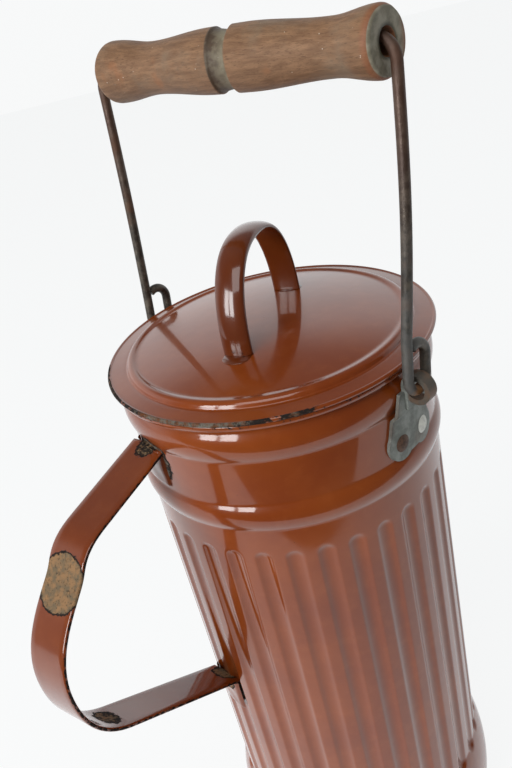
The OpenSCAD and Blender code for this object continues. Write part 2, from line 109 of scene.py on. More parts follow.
# Materials
class Nodes:
    """Short names for building one node material."""

    def __init__(self, name):
        self.mat = bpy.data.materials.new(name)
        self.mat.use_nodes = True
        self.t = self.mat.node_tree
        self.bsdf = self.t.nodes["Principled BSDF"]
        self.co = self.t.nodes.new("ShaderNodeTexCoord").outputs["Object"]

    def put(self, sock, v):
        if hasattr(v, "is_linked"):
            self.t.links.new(v, sock)
        elif isinstance(v, (tuple, list)) and len(v) == 3 and len(getattr(sock, "default_value", ())) == 4:
            sock.default_value = (*v, 1)
        else:
            sock.default_value = v

    def math(self, op, a, b=0.0):
        n = self.t.nodes.new("ShaderNodeMath")
        n.operation = op
        self.put(n.inputs[0], a)
        self.put(n.inputs[1], b)
        return n.outputs[0]

    def times(self, a, b):
        return self.math("MULTIPLY", a, b)

    def plus(self, a, b):
        return self.math("ADD", a, b)

    def vec(self, op, a, b):
        n = self.t.nodes.new("ShaderNodeVectorMath")
        n.operation = op
        self.put(n.inputs[0], a)
        self.put(n.inputs[1], b)
        return n.outputs["Value"] if op in ("DISTANCE", "DOT_PRODUCT") else n.outputs["Vector"]

    def scaled(self, s):
        """The object coordinate times a vector."""
        return self.vec("MULTIPLY", self.co, s)

    def along(self, direction):
        """How far the object coordinate lies along a direction."""
        return self.vec("DOT_PRODUCT", self.co, direction)

    def noise(self, scale, detail=3.0, rough=0.55, co=None, distort=0.0):
        n = self.t.nodes.new("ShaderNodeTexNoise")
        self.put(n.inputs["Vector"], co or self.co)
        n.inputs["Scale"].default_value = scale
        n.inputs["Detail"].default_value = detail
        n.inputs["Roughness"].default_value = rough
        n.inputs["Distortion"].default_value = distort
        return n.outputs["Fac"]

    def voronoi(self, scale):
        n = self.t.nodes.new("ShaderNodeTexVoronoi")
        self.put(n.inputs["Vector"], self.co)
        n.inputs["Scale"].default_value = scale
        return n.outputs["Distance"]

    def ramp(self, v, lo, hi, a=0.0, b=1.0):
        """A smooth step from a to b as v goes from lo to hi."""
        n = self.t.nodes.new("ShaderNodeMapRange")
        n.interpolation_type = "SMOOTHSTEP"
        n.clamp = True
        self.put(n.inputs["Value"], v)
        for k, x in (("From Min", lo), ("From Max", hi), ("To Min", a), ("To Max", b)):
            n.inputs[k].default_value = x
        return n.outputs["Result"]

    def mix(self, f, a, b):
        n = self.t.nodes.new("ShaderNodeMix")
        n.data_type = "RGBA"
        self.put(n.inputs[0], f)
        self.put(n.inputs[6], a)
        self.put(n.inputs[7], b)
        return n.outputs[2]

    def lerp(self, f, a, b):
        n = self.t.nodes.new("ShaderNodeMix")
        n.data_type = "FLOAT"
        self.put(n.inputs[0], f)
        self.put(n.inputs[2], a)
        self.put(n.inputs[3], b)
        return n.outputs[0]

    def xyz(self):
        n = self.t.nodes.new("ShaderNodeSeparateXYZ")
        self.put(n.inputs[0], self.co)
        return n.outputs[0], n.outputs[1], n.outputs[2]

    def near(self, point, reach, soft=0.5):
        """1 near a point in metres, falling to 0 at the reach."""
        return self.ramp(self.vec("DISTANCE", self.co, point), reach * soft, reach, 1.0, 0.0)

    def most(self, *v):
        out = v[0]
        for k in v[1:]:
            out = self.math("MAXIMUM", out, k)
        return out

    def set(self, **kw):
        for k, v in kw.items():
            self.put(self.bsdf.inputs[k.replace("_", " ")], v)

    def bump(self, h, strength, distance):
        n = self.t.nodes.new("ShaderNodeBump")
        self.put(n.inputs["Height"], h)
        n.inputs["Strength"].default_value = strength
        n.inputs["Distance"].default_value = distance
        self.t.links.new(n.outputs[0], self.bsdf.inputs["Normal"])


def srgb(*rgb):
    """A colour from 0..255 screen values."""
    return tuple(c / 12.92 if c <= 0.04045 else ((c + 0.055) / 1.055) ** 2.4 for c in np.array(rgb) / 255)


BROWN = srgb(134, 62, 17)
BROWN_DEEP = srgb(122, 52, 12)
BROWN_LIGHT = srgb(150, 78, 34)
BROWN_DARK = srgb(44, 18, 9)
SPECK = srgb(58, 30, 20)
STEEL = srgb(104, 101, 92)
RUST = srgb(96, 58, 34)
RUST_ORANGE = srgb(156, 104, 52)
BLACK = srgb(34, 28, 25)
STAIN_TAN = srgb(142, 110, 78)
STAIN_GREY = srgb(108, 94, 74)


def enamel(name, wear, under=(STEEL, RUST), painted_shade=0.0):
    """Glossy brown enamel; its last argument darkens the colour towards BROWN_DARK as painted shade. wear(n) gives
    a 0..1 mask of where it has come off, under the two metals' colours.
    """
    n = Nodes(name)
    col = n.mix(n.ramp(n.noise(22, 3), 0.35, 0.68), BROWN_DEEP, BROWN)
    col = n.mix(n.ramp(n.noise(160, 4, 0.6), 0.45, 0.75, 0.0, 0.18), col, BROWN_LIGHT)
    # painted shade: the same enamel darkened where it looks darker from the light
    col = n.mix(painted_shade, col, BROWN_DARK)
    specks = n.times(n.ramp(n.voronoi(330), 0.05, 0.09, 1.0, 0.0), n.ramp(n.noise(60, 2), 0.56, 0.62))
    col = n.mix(n.times(specks, 0.65), col, SPECK)
    # ragged edges: a dark band first, then the bare metal inside it
    ragged = n.times(n.math("SUBTRACT", n.noise(420, 5, 0.65), 0.5), 0.55)
    edge = n.plus(wear(n), ragged)
    dark = n.ramp(edge, 0.44, 0.50)
    bare = n.ramp(edge, 0.56, 0.66)
    metal = n.mix(n.ramp(n.noise(300, 5, 0.7), 0.40, 0.62), *under)
    metal = n.mix(n.ramp(n.noise(900, 3), 0.52, 0.70, 0.0, 0.6), metal, BLACK)
    col = n.mix(dark, col, BLACK)
    col = n.mix(bare, col, metal)
    n.set(Base_Color=col, Roughness=n.lerp(dark, 0.30, 0.75), Metallic=0.0, Specular_IOR_Level=0.12,
          Coat_Weight=n.math("SUBTRACT", 1.0, dark),
          Coat_Roughness=n.ramp(n.noise(35, 3), 0.3, 0.8, 0.045, 0.14))
    # orange peel, slow waves, the chips' depth and their rust
    h = n.plus(n.times(n.noise(190, 2, 0.4), 0.10), n.times(n.noise(48, 2, 0.5), 0.95))
    h = n.math("SUBTRACT", h, n.times(dark, 0.55))
    h = n.plus(h, n.times(n.times(n.noise(1100, 4, 0.7), bare), 0.25))
    n.bump(h, 0.35, 0.0006)
    return n.mat


# Places of the wear, in metres
BODY_JOINT_TOP, BODY_JOINT_LOW = (-0.0135, -0.0705, 0.293), (-0.013, -0.0705, 0.146)
STRAP_JOINT_TOP, STRAP_JOINT_LOW = (-0.0145, -0.0700, 0.2985), (-0.0145, -0.0700, 0.1535)
STRAP_STAIN, STRAP_BOW = (-0.0063, -0.1305, 0.2755), (-0.0053, -0.1385, 0.2015)
STRAP_ROOT, STRAP_ACROSS = (-0.01515, -0.06834, 0.0), (0.990, 0.139, 0.0)
KNOB_FOOT = (0.012, -0.030, 0.329)
RIM_FRONT = (0.10, -0.995, 0.0)
HOOK_X, HOOK_Z, HOOK_REACH = 0.079, 0.3114, 0.0075


def lid_wear(n):
    """Chips on the hem, most of them on the front."""
    x, y, z = n.xyz()
    r = n.math("SQRT", n.plus(n.times(x, x), n.times(y, y)))
    rim = n.ramp(r, 0.0728, 0.0742)
    front = n.ramp(n.along(RIM_FRONT), 0.044, 0.062)
    amount = n.plus(n.times(front, 0.42), n.ramp(n.noise(30, 3), 0.42, 0.62, 0.10, 0.42))
    return n.times(rim, amount)


def shell_wear(n):
    """Bare spots by the side handle's joints, and thin dark lines at the mouth and the foot."""
    z = n.xyz()[2]
    return n.most(n.times(n.near(BODY_JOINT_TOP, 0.018), 0.66), n.times(n.near(BODY_JOINT_LOW, 0.015), 0.6),
                  n.ramp(z, 0.3165, 0.3195, 0.0, 0.42), n.ramp(z, 0.002, 0.007, 0.50, 0.0))


def strap_wear(n):
    """A bare stain on the outer bend, worn joints and dark edges."""
    from_root = n.vec("SUBTRACT", n.co, STRAP_ROOT)
    across = n.math("ABSOLUTE", n.vec("DOT_PRODUCT", from_root, STRAP_ACROSS))
    return n.most(n.times(n.near(STRAP_JOINT_TOP, 0.0105, 0.4), 0.58),
                  n.times(n.near(STRAP_STAIN, 0.0165, 0.55), 0.85),
                  n.times(n.near(STRAP_BOW, 0.0125, 0.3), 0.62),
                  n.times(n.near(STRAP_JOINT_LOW, 0.0125, 0.4), 0.66),
                  n.ramp(across, 0.0092, 0.0102, 0.0, 0.50))


def knob_wear(n):
    return n.times(n.near(KNOB_FOOT, 0.008), 0.42)


def no_wear(n):
    return 0.0


def rusty_wire(name):
    """Iron wire: redder towards the grip, greyer low on one leg, orange in the hooks."""
    n = Nodes(name)
    fine, broad = n.noise(220, 5, 0.7), n.noise(70, 4, 0.6)
    x, y, z = n.xyz()
    col = n.mix(n.ramp(fine, 0.38, 0.66), srgb(52, 46, 41), srgb(92, 84, 74))
    col = n.mix(n.ramp(broad, 0.48, 0.70, 0.0, 0.75), col, srgb(96, 66, 46))
    col = n.mix(n.times(n.ramp(z, 0.36, 0.43), 0.7), col, srgb(84, 56, 42))
    right_leg = n.times(n.ramp(x, 0.02, 0.05), n.ramp(z, 0.325, 0.40, 0.6, 0.0))
    col = n.mix(n.times(right_leg, n.ramp(broad, 0.40, 0.56)), col, srgb(94, 98, 97))
    hooks = n.most(*(n.near((side * HOOK_X, 0.0, HOOK_Z), HOOK_REACH) for side in (1, -1)))
    col = n.mix(n.times(hooks, n.ramp(fine, 0.3, 0.6)), col, RUST_ORANGE)
    n.set(Base_Color=col, Roughness=n.ramp(broad, 0.3, 0.7, 0.36, 0.66), Metallic=0.35)
    n.bump(n.noise(700, 5, 0.65), 0.5, 0.0004)
    return n.mat


def zinc(name):
    """Dull plated sheet, with brown rings, and dark dirt with painted shade along the plates' front edge."""
    n = Nodes(name)
    fine = n.noise(150, 5, 0.65)
    col = n.mix(n.ramp(fine, 0.36, 0.66), srgb(104, 108, 102), srgb(140, 144, 138))
    col = n.mix(n.ramp(n.noise(45, 3), 0.50, 0.70, 0.0, 0.55), col, srgb(98, 74, 56))
    ring = n.ramp(n.math("ABSOLUTE", n.xyz()[0]), 0.0747, 0.0760)
    ring_brown = n.mix(n.ramp(fine, 0.38, 0.62), srgb(108, 78, 56), srgb(70, 58, 46))
    col = n.mix(n.times(ring, 0.8), col, ring_brown)
    # the dark along the plates' front edge is part dirt, part painted shade of the gap between plate and can
    front_edge = n.ramp(n.along((0, 1, -0.26)), -0.0885, -0.0850, 1.0, 0.0)
    grime_and_shade = n.times(front_edge, n.ramp(n.noise(120, 4), 0.30, 0.50))
    col = n.mix(n.times(grime_and_shade, 0.75), col, srgb(52, 42, 34))
    n.set(Base_Color=col, Roughness=0.52, Metallic=0.45)
    n.bump(n.noise(600, 4, 0.6), 0.4, 0.0004)
    return n.mat


def dull(name, c1, c2, rough=0.6, metallic=0.2):
    n = Nodes(name)
    col = n.mix(n.ramp(n.noise(400, 4, 0.65), 0.38, 0.66), c1, c2)
    n.set(Base_Color=col, Roughness=rough, Metallic=metallic)
    n.bump(n.noise(800, 4, 0.6), 0.4, 0.0003)
    return n.mat


# The grip at rest, in metres: its middle, the groove's slant, and its ends' distance
GRIP_CENTRE = (0.0043, 0.0099)
GROOVE_SLANT = 0.344
GRIP_END = (0.07065, 0.0709)
BORE_CENTRE = (0, 0.0128, 0.4378)


def wood(name):
    """Worn turned wood, with a darker groove, grey end faces and painted shade round the bore."""
    n = Nodes(name)
    x, y, z = n.xyz()
    grain_co = n.scaled((20.0, 150.0, 150.0))
    grain = n.noise(4.0, 5, 0.6, grain_co, 0.3)
    streak = n.noise(16.0, 4, 0.7, grain_co)
    col = n.mix(n.ramp(grain, 0.30, 0.72), srgb(112, 80, 54), srgb(142, 107, 77))
    col = n.mix(n.ramp(streak, 0.50, 0.68, 0.0, 0.75), col, srgb(84, 58, 38))
    col = n.mix(n.ramp(n.noise(34, 4, 0.6), 0.50, 0.72, 0.0, 0.6), col, srgb(124, 110, 92))
    col = n.mix(n.ramp(n.noise(55, 3), 0.58, 0.72, 0.0, 0.6), col, srgb(150, 96, 56))
    # groove: darker towards its left end, lighter to the right
    along = n.math("SUBTRACT", x, GRIP_CENTRE[0])
    band = n.plus(along, n.times(n.math("SUBTRACT", y, GRIP_CENTRE[1]), GROOVE_SLANT))
    groove = n.times(n.ramp(band, -0.0068, -0.0058), n.ramp(band, 0.0022, 0.0030, 1.0, 0.0))
    groove_tone = n.plus(n.ramp(band, -0.0050, 0.0026, 0.0, 0.75), n.ramp(n.noise(300, 4), 0.35, 0.65, -0.2, 0.25))
    col = n.mix(n.times(groove, 0.9), col, n.mix(groove_tone, srgb(66, 54, 42), srgb(130, 124, 104)))
    # paint specks
    white = n.times(n.ramp(n.voronoi(420), 0.07, 0.11, 1.0, 0.0), n.ramp(n.noise(90, 2), 0.55, 0.60))
    col = n.mix(n.times(white, 0.7), col, srgb(214, 206, 190))
    # reddish edge, grey end faces, and painted shade round the bore for its hollow
    col = n.mix(n.times(n.ramp(along, 0.0675, 0.0700), 0.55), col, srgb(142, 84, 52))
    ends = n.ramp(n.math("ABSOLUTE", along), *GRIP_END)
    grey = n.mix(n.ramp(n.noise(240, 4, 0.6), 0.36, 0.66), srgb(120, 114, 96), srgb(152, 146, 128))
    col = n.mix(ends, col, grey)
    from_bore = n.vec("DISTANCE", n.scaled((0, 1, 1)), BORE_CENTRE)
    col = n.mix(n.times(ends, n.ramp(from_bore, 0.0050, 0.0066, 0.8, 0.0)), col, srgb(58, 54, 34))
    n.set(Base_Color=col, Roughness=0.55, Specular_IOR_Level=0.4)
    n.bump(n.plus(n.times(streak, 0.6), n.times(grain, 0.4)), 0.35, 0.0006)
    return n.mat


LID_ENAMEL = enamel("lid_enamel", lid_wear)
BODY_ENAMEL = enamel("body_enamel", shell_wear)
# the strap and the lid handle: the same enamel with painted shade, heavier on the lid handle
STRAP_ENAMEL = enamel("strap_enamel", strap_wear, under=(STAIN_TAN, STAIN_GREY), painted_shade=0.18)
KNOB_ENAMEL = enamel("knob_enamel", knob_wear, painted_shade=0.55)
PLAIN_ENAMEL = enamel("plain_enamel", no_wear)
WIRE = rusty_wire("bail_iron")
ZINC = zinc("ear_sheet")
IRON = dull("rivet_iron", srgb(92, 66, 50), srgb(58, 42, 34))
WHITE = dull("rivet_white", srgb(228, 228, 218), srgb(200, 200, 192), 0.5, 0.1)
WOOD = wood("grip_wood")


# Can body
def arc_r(c, h):
    """Radius of an arc with half chord c and rise h."""
    return (c * c + h * h) / (2 * h)


BEADS = [(RIM_H - 14.0, 7.0), (RIM_H - 49.5, 6.5)]
FOOT_D, FOOT_MID, FOOT_TOP = 150.0, 25.0, 56.0
FLUTE_W, FLUTE_DEEP = 8.5, 1.5
FLUTE_Z1, FLUTE_Z2 = 52.0 + FLUTE_W / 2, RIM_H - 68.0 - FLUTE_W / 2


def wall_r(z):
    """Outside radius of the sheet at height z, without the flutes."""
    z = np.asarray(z, float)
    r = np.full_like(z, BODY_R)
    for zb, half in BEADS:
        q = arc_r(half, 2.0)
        inside = np.clip(q * q - (z - zb) ** 2, 0, None)
        r = np.where(np.abs(z - zb) < half, np.maximum(r, BODY_R + 2 - q + np.sqrt(inside)), r)
    q = arc_r(FOOT_TOP - FOOT_MID, FOOT_D / 2 - BODY_R)
    inside = np.clip(q * q - (z - FOOT_MID) ** 2, 0, None)
    return np.where(z < FOOT_TOP, np.maximum(r, FOOT_D / 2 - q + np.sqrt(inside)), r)


def blur(step, reach, width):
    """Weights of a bell curve, used to round corners."""
    k = np.exp(-0.5 * (np.arange(-reach, reach + 1) * step / width) ** 2)
    return k / k.sum()


def flute_depth_table():
    """Depth of a flute against the distance from its middle line, its lips rounded."""
    ball, step = arc_r(FLUTE_W / 2 - 0.3, FLUTE_DEEP), 0.02
    q = np.arange(0, 8, step)
    d = np.clip(np.sqrt(np.clip(ball ** 2 - q ** 2, 0, None)) - (ball - FLUTE_DEEP), 0, None)
    full = np.convolve(np.concatenate([d[:0:-1], d]), blur(step, 60, 0.42), "same")
    return q, full[len(d) - 1:]


# The lid's ridge, dome and hem, and the slope of its flange
LID_R, RIDGE_R, RIDGE_H, DOME_H, HEM_R = 75.0, 63.0, 4.3, 8.5, 1.1
HEM_X = LID_R - HEM_R
FLANGE_IN, FLANGE_OUT = 1.9, 0.5
FLANGE_SLOPE = (FLANGE_IN - FLANGE_OUT) / (HEM_X - RIDGE_R)

# The rolled edge's middle, under the lid's flange
CURL_R, CURL_X, CURL_GAP = 2.2, 71.2, 0.35
CURL_Z = RIM_H + FLANGE_OUT + FLANGE_SLOPE * (HEM_X - CURL_X) - WALL - CURL_GAP - CURL_R


def make_body():
    """One closed sheet: the outside up to the rolled edge, the edge, and the inside down again."""
    cols, curl_n = 960, 30
    zs = np.concatenate([
        np.linspace(1.15, 44, 40), np.arange(45, 64, 0.6), np.linspace(65, 236, 24),
        np.arange(238, 262, 0.6), np.arange(262, 317.6, 0.45)])
    step, reach = 0.05, 40
    fine = np.arange(0, 330, step)
    rr = np.convolve(np.pad(wall_r(fine), reach, "edge"), blur(step, reach, 0.40), "valid")
    r_out = np.interp(zs, fine, rr)
    outside = list(zip(r_out, zs))
    edge = arc(CURL_X, CURL_Z, CURL_R, -100, 180, curl_n)
    inside = [(r - WALL, z) for r, z in zip(r_out[::-1], zs[::-1])]
    p = np.array(outside + edge + inside)
    fluted = np.ones(len(p))
    fluted[len(zs):len(zs) + curl_n] = 0
    a = np.arange(cols) * 2 * np.pi / cols
    pitch = 360 / FLUTES
    from_flute = (np.degrees(a) - FLUTE_TURN + pitch / 2) % pitch - pitch / 2
    across = np.radians(from_flute) * BODY_R
    past_end = np.clip(np.maximum(p[:, 1] - FLUTE_Z2, FLUTE_Z1 - p[:, 1]), 0, None)
    q = np.sqrt(across[None, :] ** 2 + past_end[:, None] ** 2)
    r = p[:, 0, None] - np.interp(q, *flute_depth_table()) * fluted[:, None]
    v = np.stack([r * np.cos(a), r * np.sin(a), np.repeat(p[:, 1, None], cols, 1)], -1).reshape(-1, 3)
    add_mesh("can_shell_look", v, grid_faces(len(p), cols, True, True), "can", ["can_shell"],
             BODY_ENAMEL)


make_body()


# Lid
def lid_top():
    """Upper line of the lid from its middle to its hem."""
    fillet, top_at = 2.6, 60.6
    dome_r = arc_r(RIDGE_R - 2, DOME_H - RIDGE_H + 0.8)
    pts = [(r, DOME_H - dome_r + math.sqrt(dome_r ** 2 - r * r)) for r in np.linspace(0.0, top_at, 60)]
    pts += arc(RIDGE_R, RIDGE_H - fillet, fillet, 118, -12, 24)
    pts += [(r, FLANGE_IN - (r - RIDGE_R) * FLANGE_SLOPE) for r in np.linspace(66.2, HEM_X, 20)]
    return pts


# The collar: its outside and inside radius, and how far it reaches down
COLLAR_OUT, COLLAR_IN, COLLAR_DEEP = 68.3, 67.3, 14.0


def make_lid():
    top = soften(resample(lid_top(), 0.4), 6)
    top[:, 1] += RIM_H
    hem = arc(HEM_X, RIM_H, HEM_R - 0.02, 78, -120, 20)
    under = [(r, z - WALL) for r, z in top[::-1] if r < HEM_X - HEM_R]
    v, f = revolve(np.array(list(map(tuple, top[top[:, 0] < HEM_X])) + hem + under), 360)
    add_mesh("lid_look", v, f, "lid", ["lid_shell"], LID_ENAMEL)
    high, low = RIM_H + 0.5, RIM_H - COLLAR_DEEP
    collar = [(COLLAR_OUT, high), (COLLAR_OUT, low + 0.6), ((COLLAR_OUT + COLLAR_IN) / 2, low),
              (COLLAR_IN, low + 0.6), (COLLAR_IN, high)]
    v, f = revolve(resample(collar, 1.0), 256)
    add_mesh("lid_collar_look", v, f, "lid", ["lid_collar"], PLAIN_ENAMEL)


make_lid()


# Sweeps
def sweep(path, frames, section):
    """Points and faces of a closed section carried along a line, with both ends shut."""
    p, sec = np.asarray(path, float), np.asarray(section, float)
    v = np.concatenate([p[i] + sec[:, :1] * frames[i][0] + sec[:, 1:] * frames[i][1] for i in range(len(p))])
    m = len(sec)
    f = grid_faces(len(p), m, False, True)
    f += [list(range(m))[::-1], [len(v) - m + k for k in range(m)]]
    return v, f


def merge(parts):
    """Several lists of points and faces as one."""
    verts, faces, n = [], [], 0
    for v, f in parts:
        verts.append(v)
        faces += [[k + n for k in q] for q in f]
        n += len(v)
    return np.concatenate(verts), faces


def rounded_bar(w, t):
    """Outline of a flat bar with round edges: x across, y through."""
    r = t / 2
    a = np.radians(np.linspace(-90, 90, 6))
    right = np.stack([w / 2 - r + r * np.cos(a), r * np.sin(a)], -1)
    left = np.stack([-w / 2 + r - r * np.cos(a), -r * np.sin(a)], -1)
    across = np.linspace(w / 2 - r, -w / 2 + r, 9)[1:-1]
    top = np.stack([across, np.full(7, r)], -1)
    return np.concatenate([right, top, left, -top])


def disc_section(r, n):
    a = np.arange(n) * 2 * np.pi / n
    return np.stack([r * np.cos(a), r * np.sin(a)], -1)


def turn(points, axis, degrees):
    m = np.array(Matrix.Rotation(math.radians(degrees), 3, axis))
    return np.asarray(points, float) @ m.T


def bez(a, b, c, d, n):
    """n points of a cubic curve, without its first."""
    t = np.linspace(0, 1, n + 1)[1:, None]
    a, b, c, d = (np.array(k, float) for k in (a, b, c, d))
    return (1 - t) ** 3 * a + 3 * (1 - t) ** 2 * t * b + 3 * (1 - t) * t * t * c + t ** 3 * d


def plane_frames(p, side):
    """Frames of a flat line: the section's x along side, its y along the line's normal."""
    d = np.gradient(p, axis=0)
    d /= np.linalg.norm(d, axis=1)[:, None]
    return [(side, np.cross(side, k)) for k in d]


# Side handle
STRAP_W, STRAP_T, TAB_L = 20.5, 1.8, 19.0
STRAP_AT, STRAP_SKEW = -102.5, 20.5
STRAP_TOP, STRAP_SPAN, STRAP_REACH = 22.5, 146.5, 84.5
JOINT_Z = RIM_H - STRAP_TOP


def make_strap():
    kink = np.array([STRAP_REACH - 24.5, -21.5])
    out = np.array([STRAP_REACH, -63.5])
    low = np.array([STRAP_REACH - 18.5, -101.5])
    start = kink + (-16, 12)
    line = np.concatenate([[(-1.0, 0.05)], [start],
                           bez(start, kink + (-8, 10), kink + (-4, 7), kink, 10),
                           bez(kink, kink + (10, -10), out + (0, 22), out, 20),
                           bez(out, out - (0, 20), low + (10, 7), low, 20),
                           [(-1.0, -STRAP_SPAN - 0.1)]])
    line = soften(resample(line, 1.2), 5)
    p = np.stack([line[:, 0], np.zeros(len(line)), line[:, 1]], -1)
    v, f = sweep(p, plane_frames(p, np.array([0.0, 1.0, 0.0])), rounded_bar(STRAP_W, STRAP_T))
    v = turn(turn(v, "Z", STRAP_SKEW) + (BODY_R, 0, JOINT_Z), "Z", STRAP_AT)
    parts = [(v, f)]
    # tabs: flat on the can, thinner and a little lumpy towards their edges
    half = math.degrees((STRAP_W / 2 - 0.2) / BODY_R)
    for z, seed in ((JOINT_Z + STRAP_T / 2, 0.0), (JOINT_Z - STRAP_SPAN + STRAP_T / 2, 2.0)):
        a = np.radians(np.linspace(-half, half, 33)) + math.radians(STRAP_AT)
        h = np.linspace(0, TAB_L, 33)
        A, H = np.meshgrid(a, h)
        e = np.minimum(np.minimum(A - a[0], a[-1] - A) * BODY_R, TAB_L - H)
        lump = 0.16 * np.sin(31 * A + seed) * np.sin(0.5 * H + seed)
        rise = (STRAP_T - 0.25) * np.clip(e / 1.6, 0, 1) ** 0.5 + lump * np.clip(e / 2, 0, 1)
        r = BODY_R + 0.05 + rise
        v = np.stack([r * np.cos(A), r * np.sin(A), z - H], -1).reshape(-1, 3)
        parts.append((v, grid_faces(33, 33, False, False)))
    v, f = merge(parts)
    add_mesh("side_handle_look", v, f, "can", ["side_handle"], STRAP_ENAMEL)


make_strap()


# Lid handle
KNOB_SPAN, KNOB_H, KNOB_W, KNOB_T, KNOB_TURN = 65.0, 51.0, 13.0, 3.4, -68.0
KNOB_SQUARE = 0.86


def make_knob():
    dome_r = arc_r(RIDGE_R - 2, DOME_H - RIDGE_H + 0.8)
    foot = DOME_H - (dome_r - math.sqrt(dome_r ** 2 - (KNOB_SPAN / 2) ** 2))
    rise = KNOB_H - KNOB_T / 2 - foot
    a = np.radians(np.linspace(0, 180, 121))
    c = np.cos(np.pi - a)
    line = np.stack([np.sign(c) * np.abs(c) ** KNOB_SQUARE * KNOB_SPAN / 2, np.zeros(121),
                     foot + rise * np.sin(a) ** KNOB_SQUARE], -1)
    line = soften(resample(line, 0.8), 3)
    g = np.radians(np.linspace(0, 180, 25))
    back_t = KNOB_T * 0.42
    sec = [(KNOB_W / 2 * math.cos(k), KNOB_T * (0.32 + 0.68 * math.sin(k)) - KNOB_T / 2) for k in g]
    sec += [(-KNOB_W / 2, -back_t), (-KNOB_W * 0.42, -KNOB_T / 2), (0, -KNOB_T / 2),
            (KNOB_W * 0.42, -KNOB_T / 2), (KNOB_W / 2, -back_t)]
    v, f = sweep(line, [(k[0], -k[1]) for k in plane_frames(line, np.array([0.0, 1.0, 0.0]))], sec)
    parts = [(v, [q[::-1] for q in f])]
    # a low bead of enamel round each foot
    for s in (-1, 1):
        r = np.linspace(0.5, KNOB_W / 2 + 0.6, 14)
        k = (r - r[0]) / (r[-1] - r[0])
        h = foot + 0.55 - 0.05 - 0.9 * k ** 3
        bead = np.concatenate([np.stack([r, h], -1), [(r[-1], foot - 0.5), (0.5, foot - 0.5)]])
        v, f = revolve(bead, 48)
        parts.append((v + (s * KNOB_SPAN / 2, 0, 0), f))
    v, f = merge(parts)
    v = turn(v, "Z", KNOB_TURN) + (0, 0, RIM_H)
    add_mesh("lid_handle_look", v, f, "lid", ["lid_handle"], KNOB_ENAMEL)


make_knob()


# Bail and grip
EYE_HOLE, EYE_T, EYE_W = 4.3, 2.4, 5.2
EYE_X = BODY_R + 2.3 + EYE_HOLE + EYE_T
WIRE_R, BAIL_H, LEG_OUT, LOOP_GAP, BEND_R = 2.2, 121.0, -0.4, 0.9, 9.0
LOOPS, BOWS = {1: 7.6, -1: 10.3}, {1: 1.5, -1: -0.8}
LEAN, TWIST, PIVOT_Z = 7.5, 2.4, RIM_H - 4.6
BORE_R, BORE_GAP = 4.8, 0.35
LOOP_A = math.hypot(EYE_T, EYE_W) / 2 + LOOP_GAP + WIRE_R
LEG_X = EYE_X + LEG_OUT
WIRE_H = BAIL_H + BORE_R - BORE_GAP - WIRE_R


def bail_place(v):
    return turn(v, "X", -LEAN) + (0, 0, PIVOT_Z)


def half_bail(side):
    """The wire's middle line from one loop's tip up to the middle of the grip."""
    top = LOOPS[side]
    shut = math.acos(-(LOOP_A - WIRE_R - 0.3) / LOOP_A)
    p = [(side * EYE_X, LOOP_A * math.cos(g), top + LOOP_A * math.sin(g)) for g in np.linspace(shut, 0, 24)]
    p += [(side * EYE_X, LOOP_A * math.cos(g), LOOP_A * math.sin(g)) for g in np.linspace(0, -math.pi, 30)]
    z0, z1 = top + LOOP_A + WIRE_R, WIRE_H - BEND_R
    rack = math.tan(math.radians(TWIST))
    for t in np.linspace(0, 1, 40)[:-1]:
        p.append((side * (EYE_X + t * LEG_OUT + BOWS[side] * math.sin(math.pi * t)),
                  -LOOP_A + t * side * LEG_X * rack, z0 + t * (z1 - z0)))
    for g in np.linspace(0, math.pi / 2, 16):
        x = side * (LEG_X - BEND_R + BEND_R * math.cos(g))
        p.append((x, x * rack - LOOP_A, z1 + BEND_R * math.sin(g)))
    return p


def make_bail():
    p = np.array(half_bail(1) + half_bail(-1)[::-1])
    d = np.gradient(p, axis=0)
    d /= np.linalg.norm(d, axis=1)[:, None]
    u = np.array([1.0, 0.0, 0.0])
    frames = []
    for k in d:
        u = u - k * np.dot(u, k)
        u /= np.linalg.norm(u)
        frames.append((u, np.cross(k, u)))
    v, f = sweep(p, frames, disc_section(WIRE_R - 0.02, 24))
    add_mesh("bail_look", bail_place(v), f, "bail", ["bail_wire"], WIRE)


make_bail()

GRIP_L = 2 * (LEG_X - WIRE_R) - 10.3
GRIP_SLID, GRIP_MID, GRIP_PEAK = 4.3, 12.5, 9.0
# For each side: where its waist lies as a share of the length, and the waist's and end's radius
GRIP_SIDES = {-1: (0.3, 10.6, 13.0), 1: (0.355, 10.2, 12.1)}
GROOVE_W, GROOVE_DEEP, GROOVE_OFF, GROOVE_TILT = 9.0, 1.8, 1.7, 19.0


def ease(a, b, k):
    return (a + b) / 2 + (a - b) / 2 * math.cos(math.pi * k)


def grip_r(x):
    """Radius of the grip at x from its middle."""
    share, waist, end = GRIP_SIDES[1 if x > 0 else -1]
    t, low, high = abs(x), share * GRIP_L, GRIP_L / 2 - 2.5
    if t < GRIP_PEAK:
        return GRIP_MID
    if t > high:
        return end - 1.3 * ((t - high) / (GRIP_L / 2 - high)) ** 2
    if t < low:
        return ease(GRIP_MID, waist, (t - GRIP_PEAK) / (low - GRIP_PEAK))
    return ease(waist, end, (t - low) / (high - low))


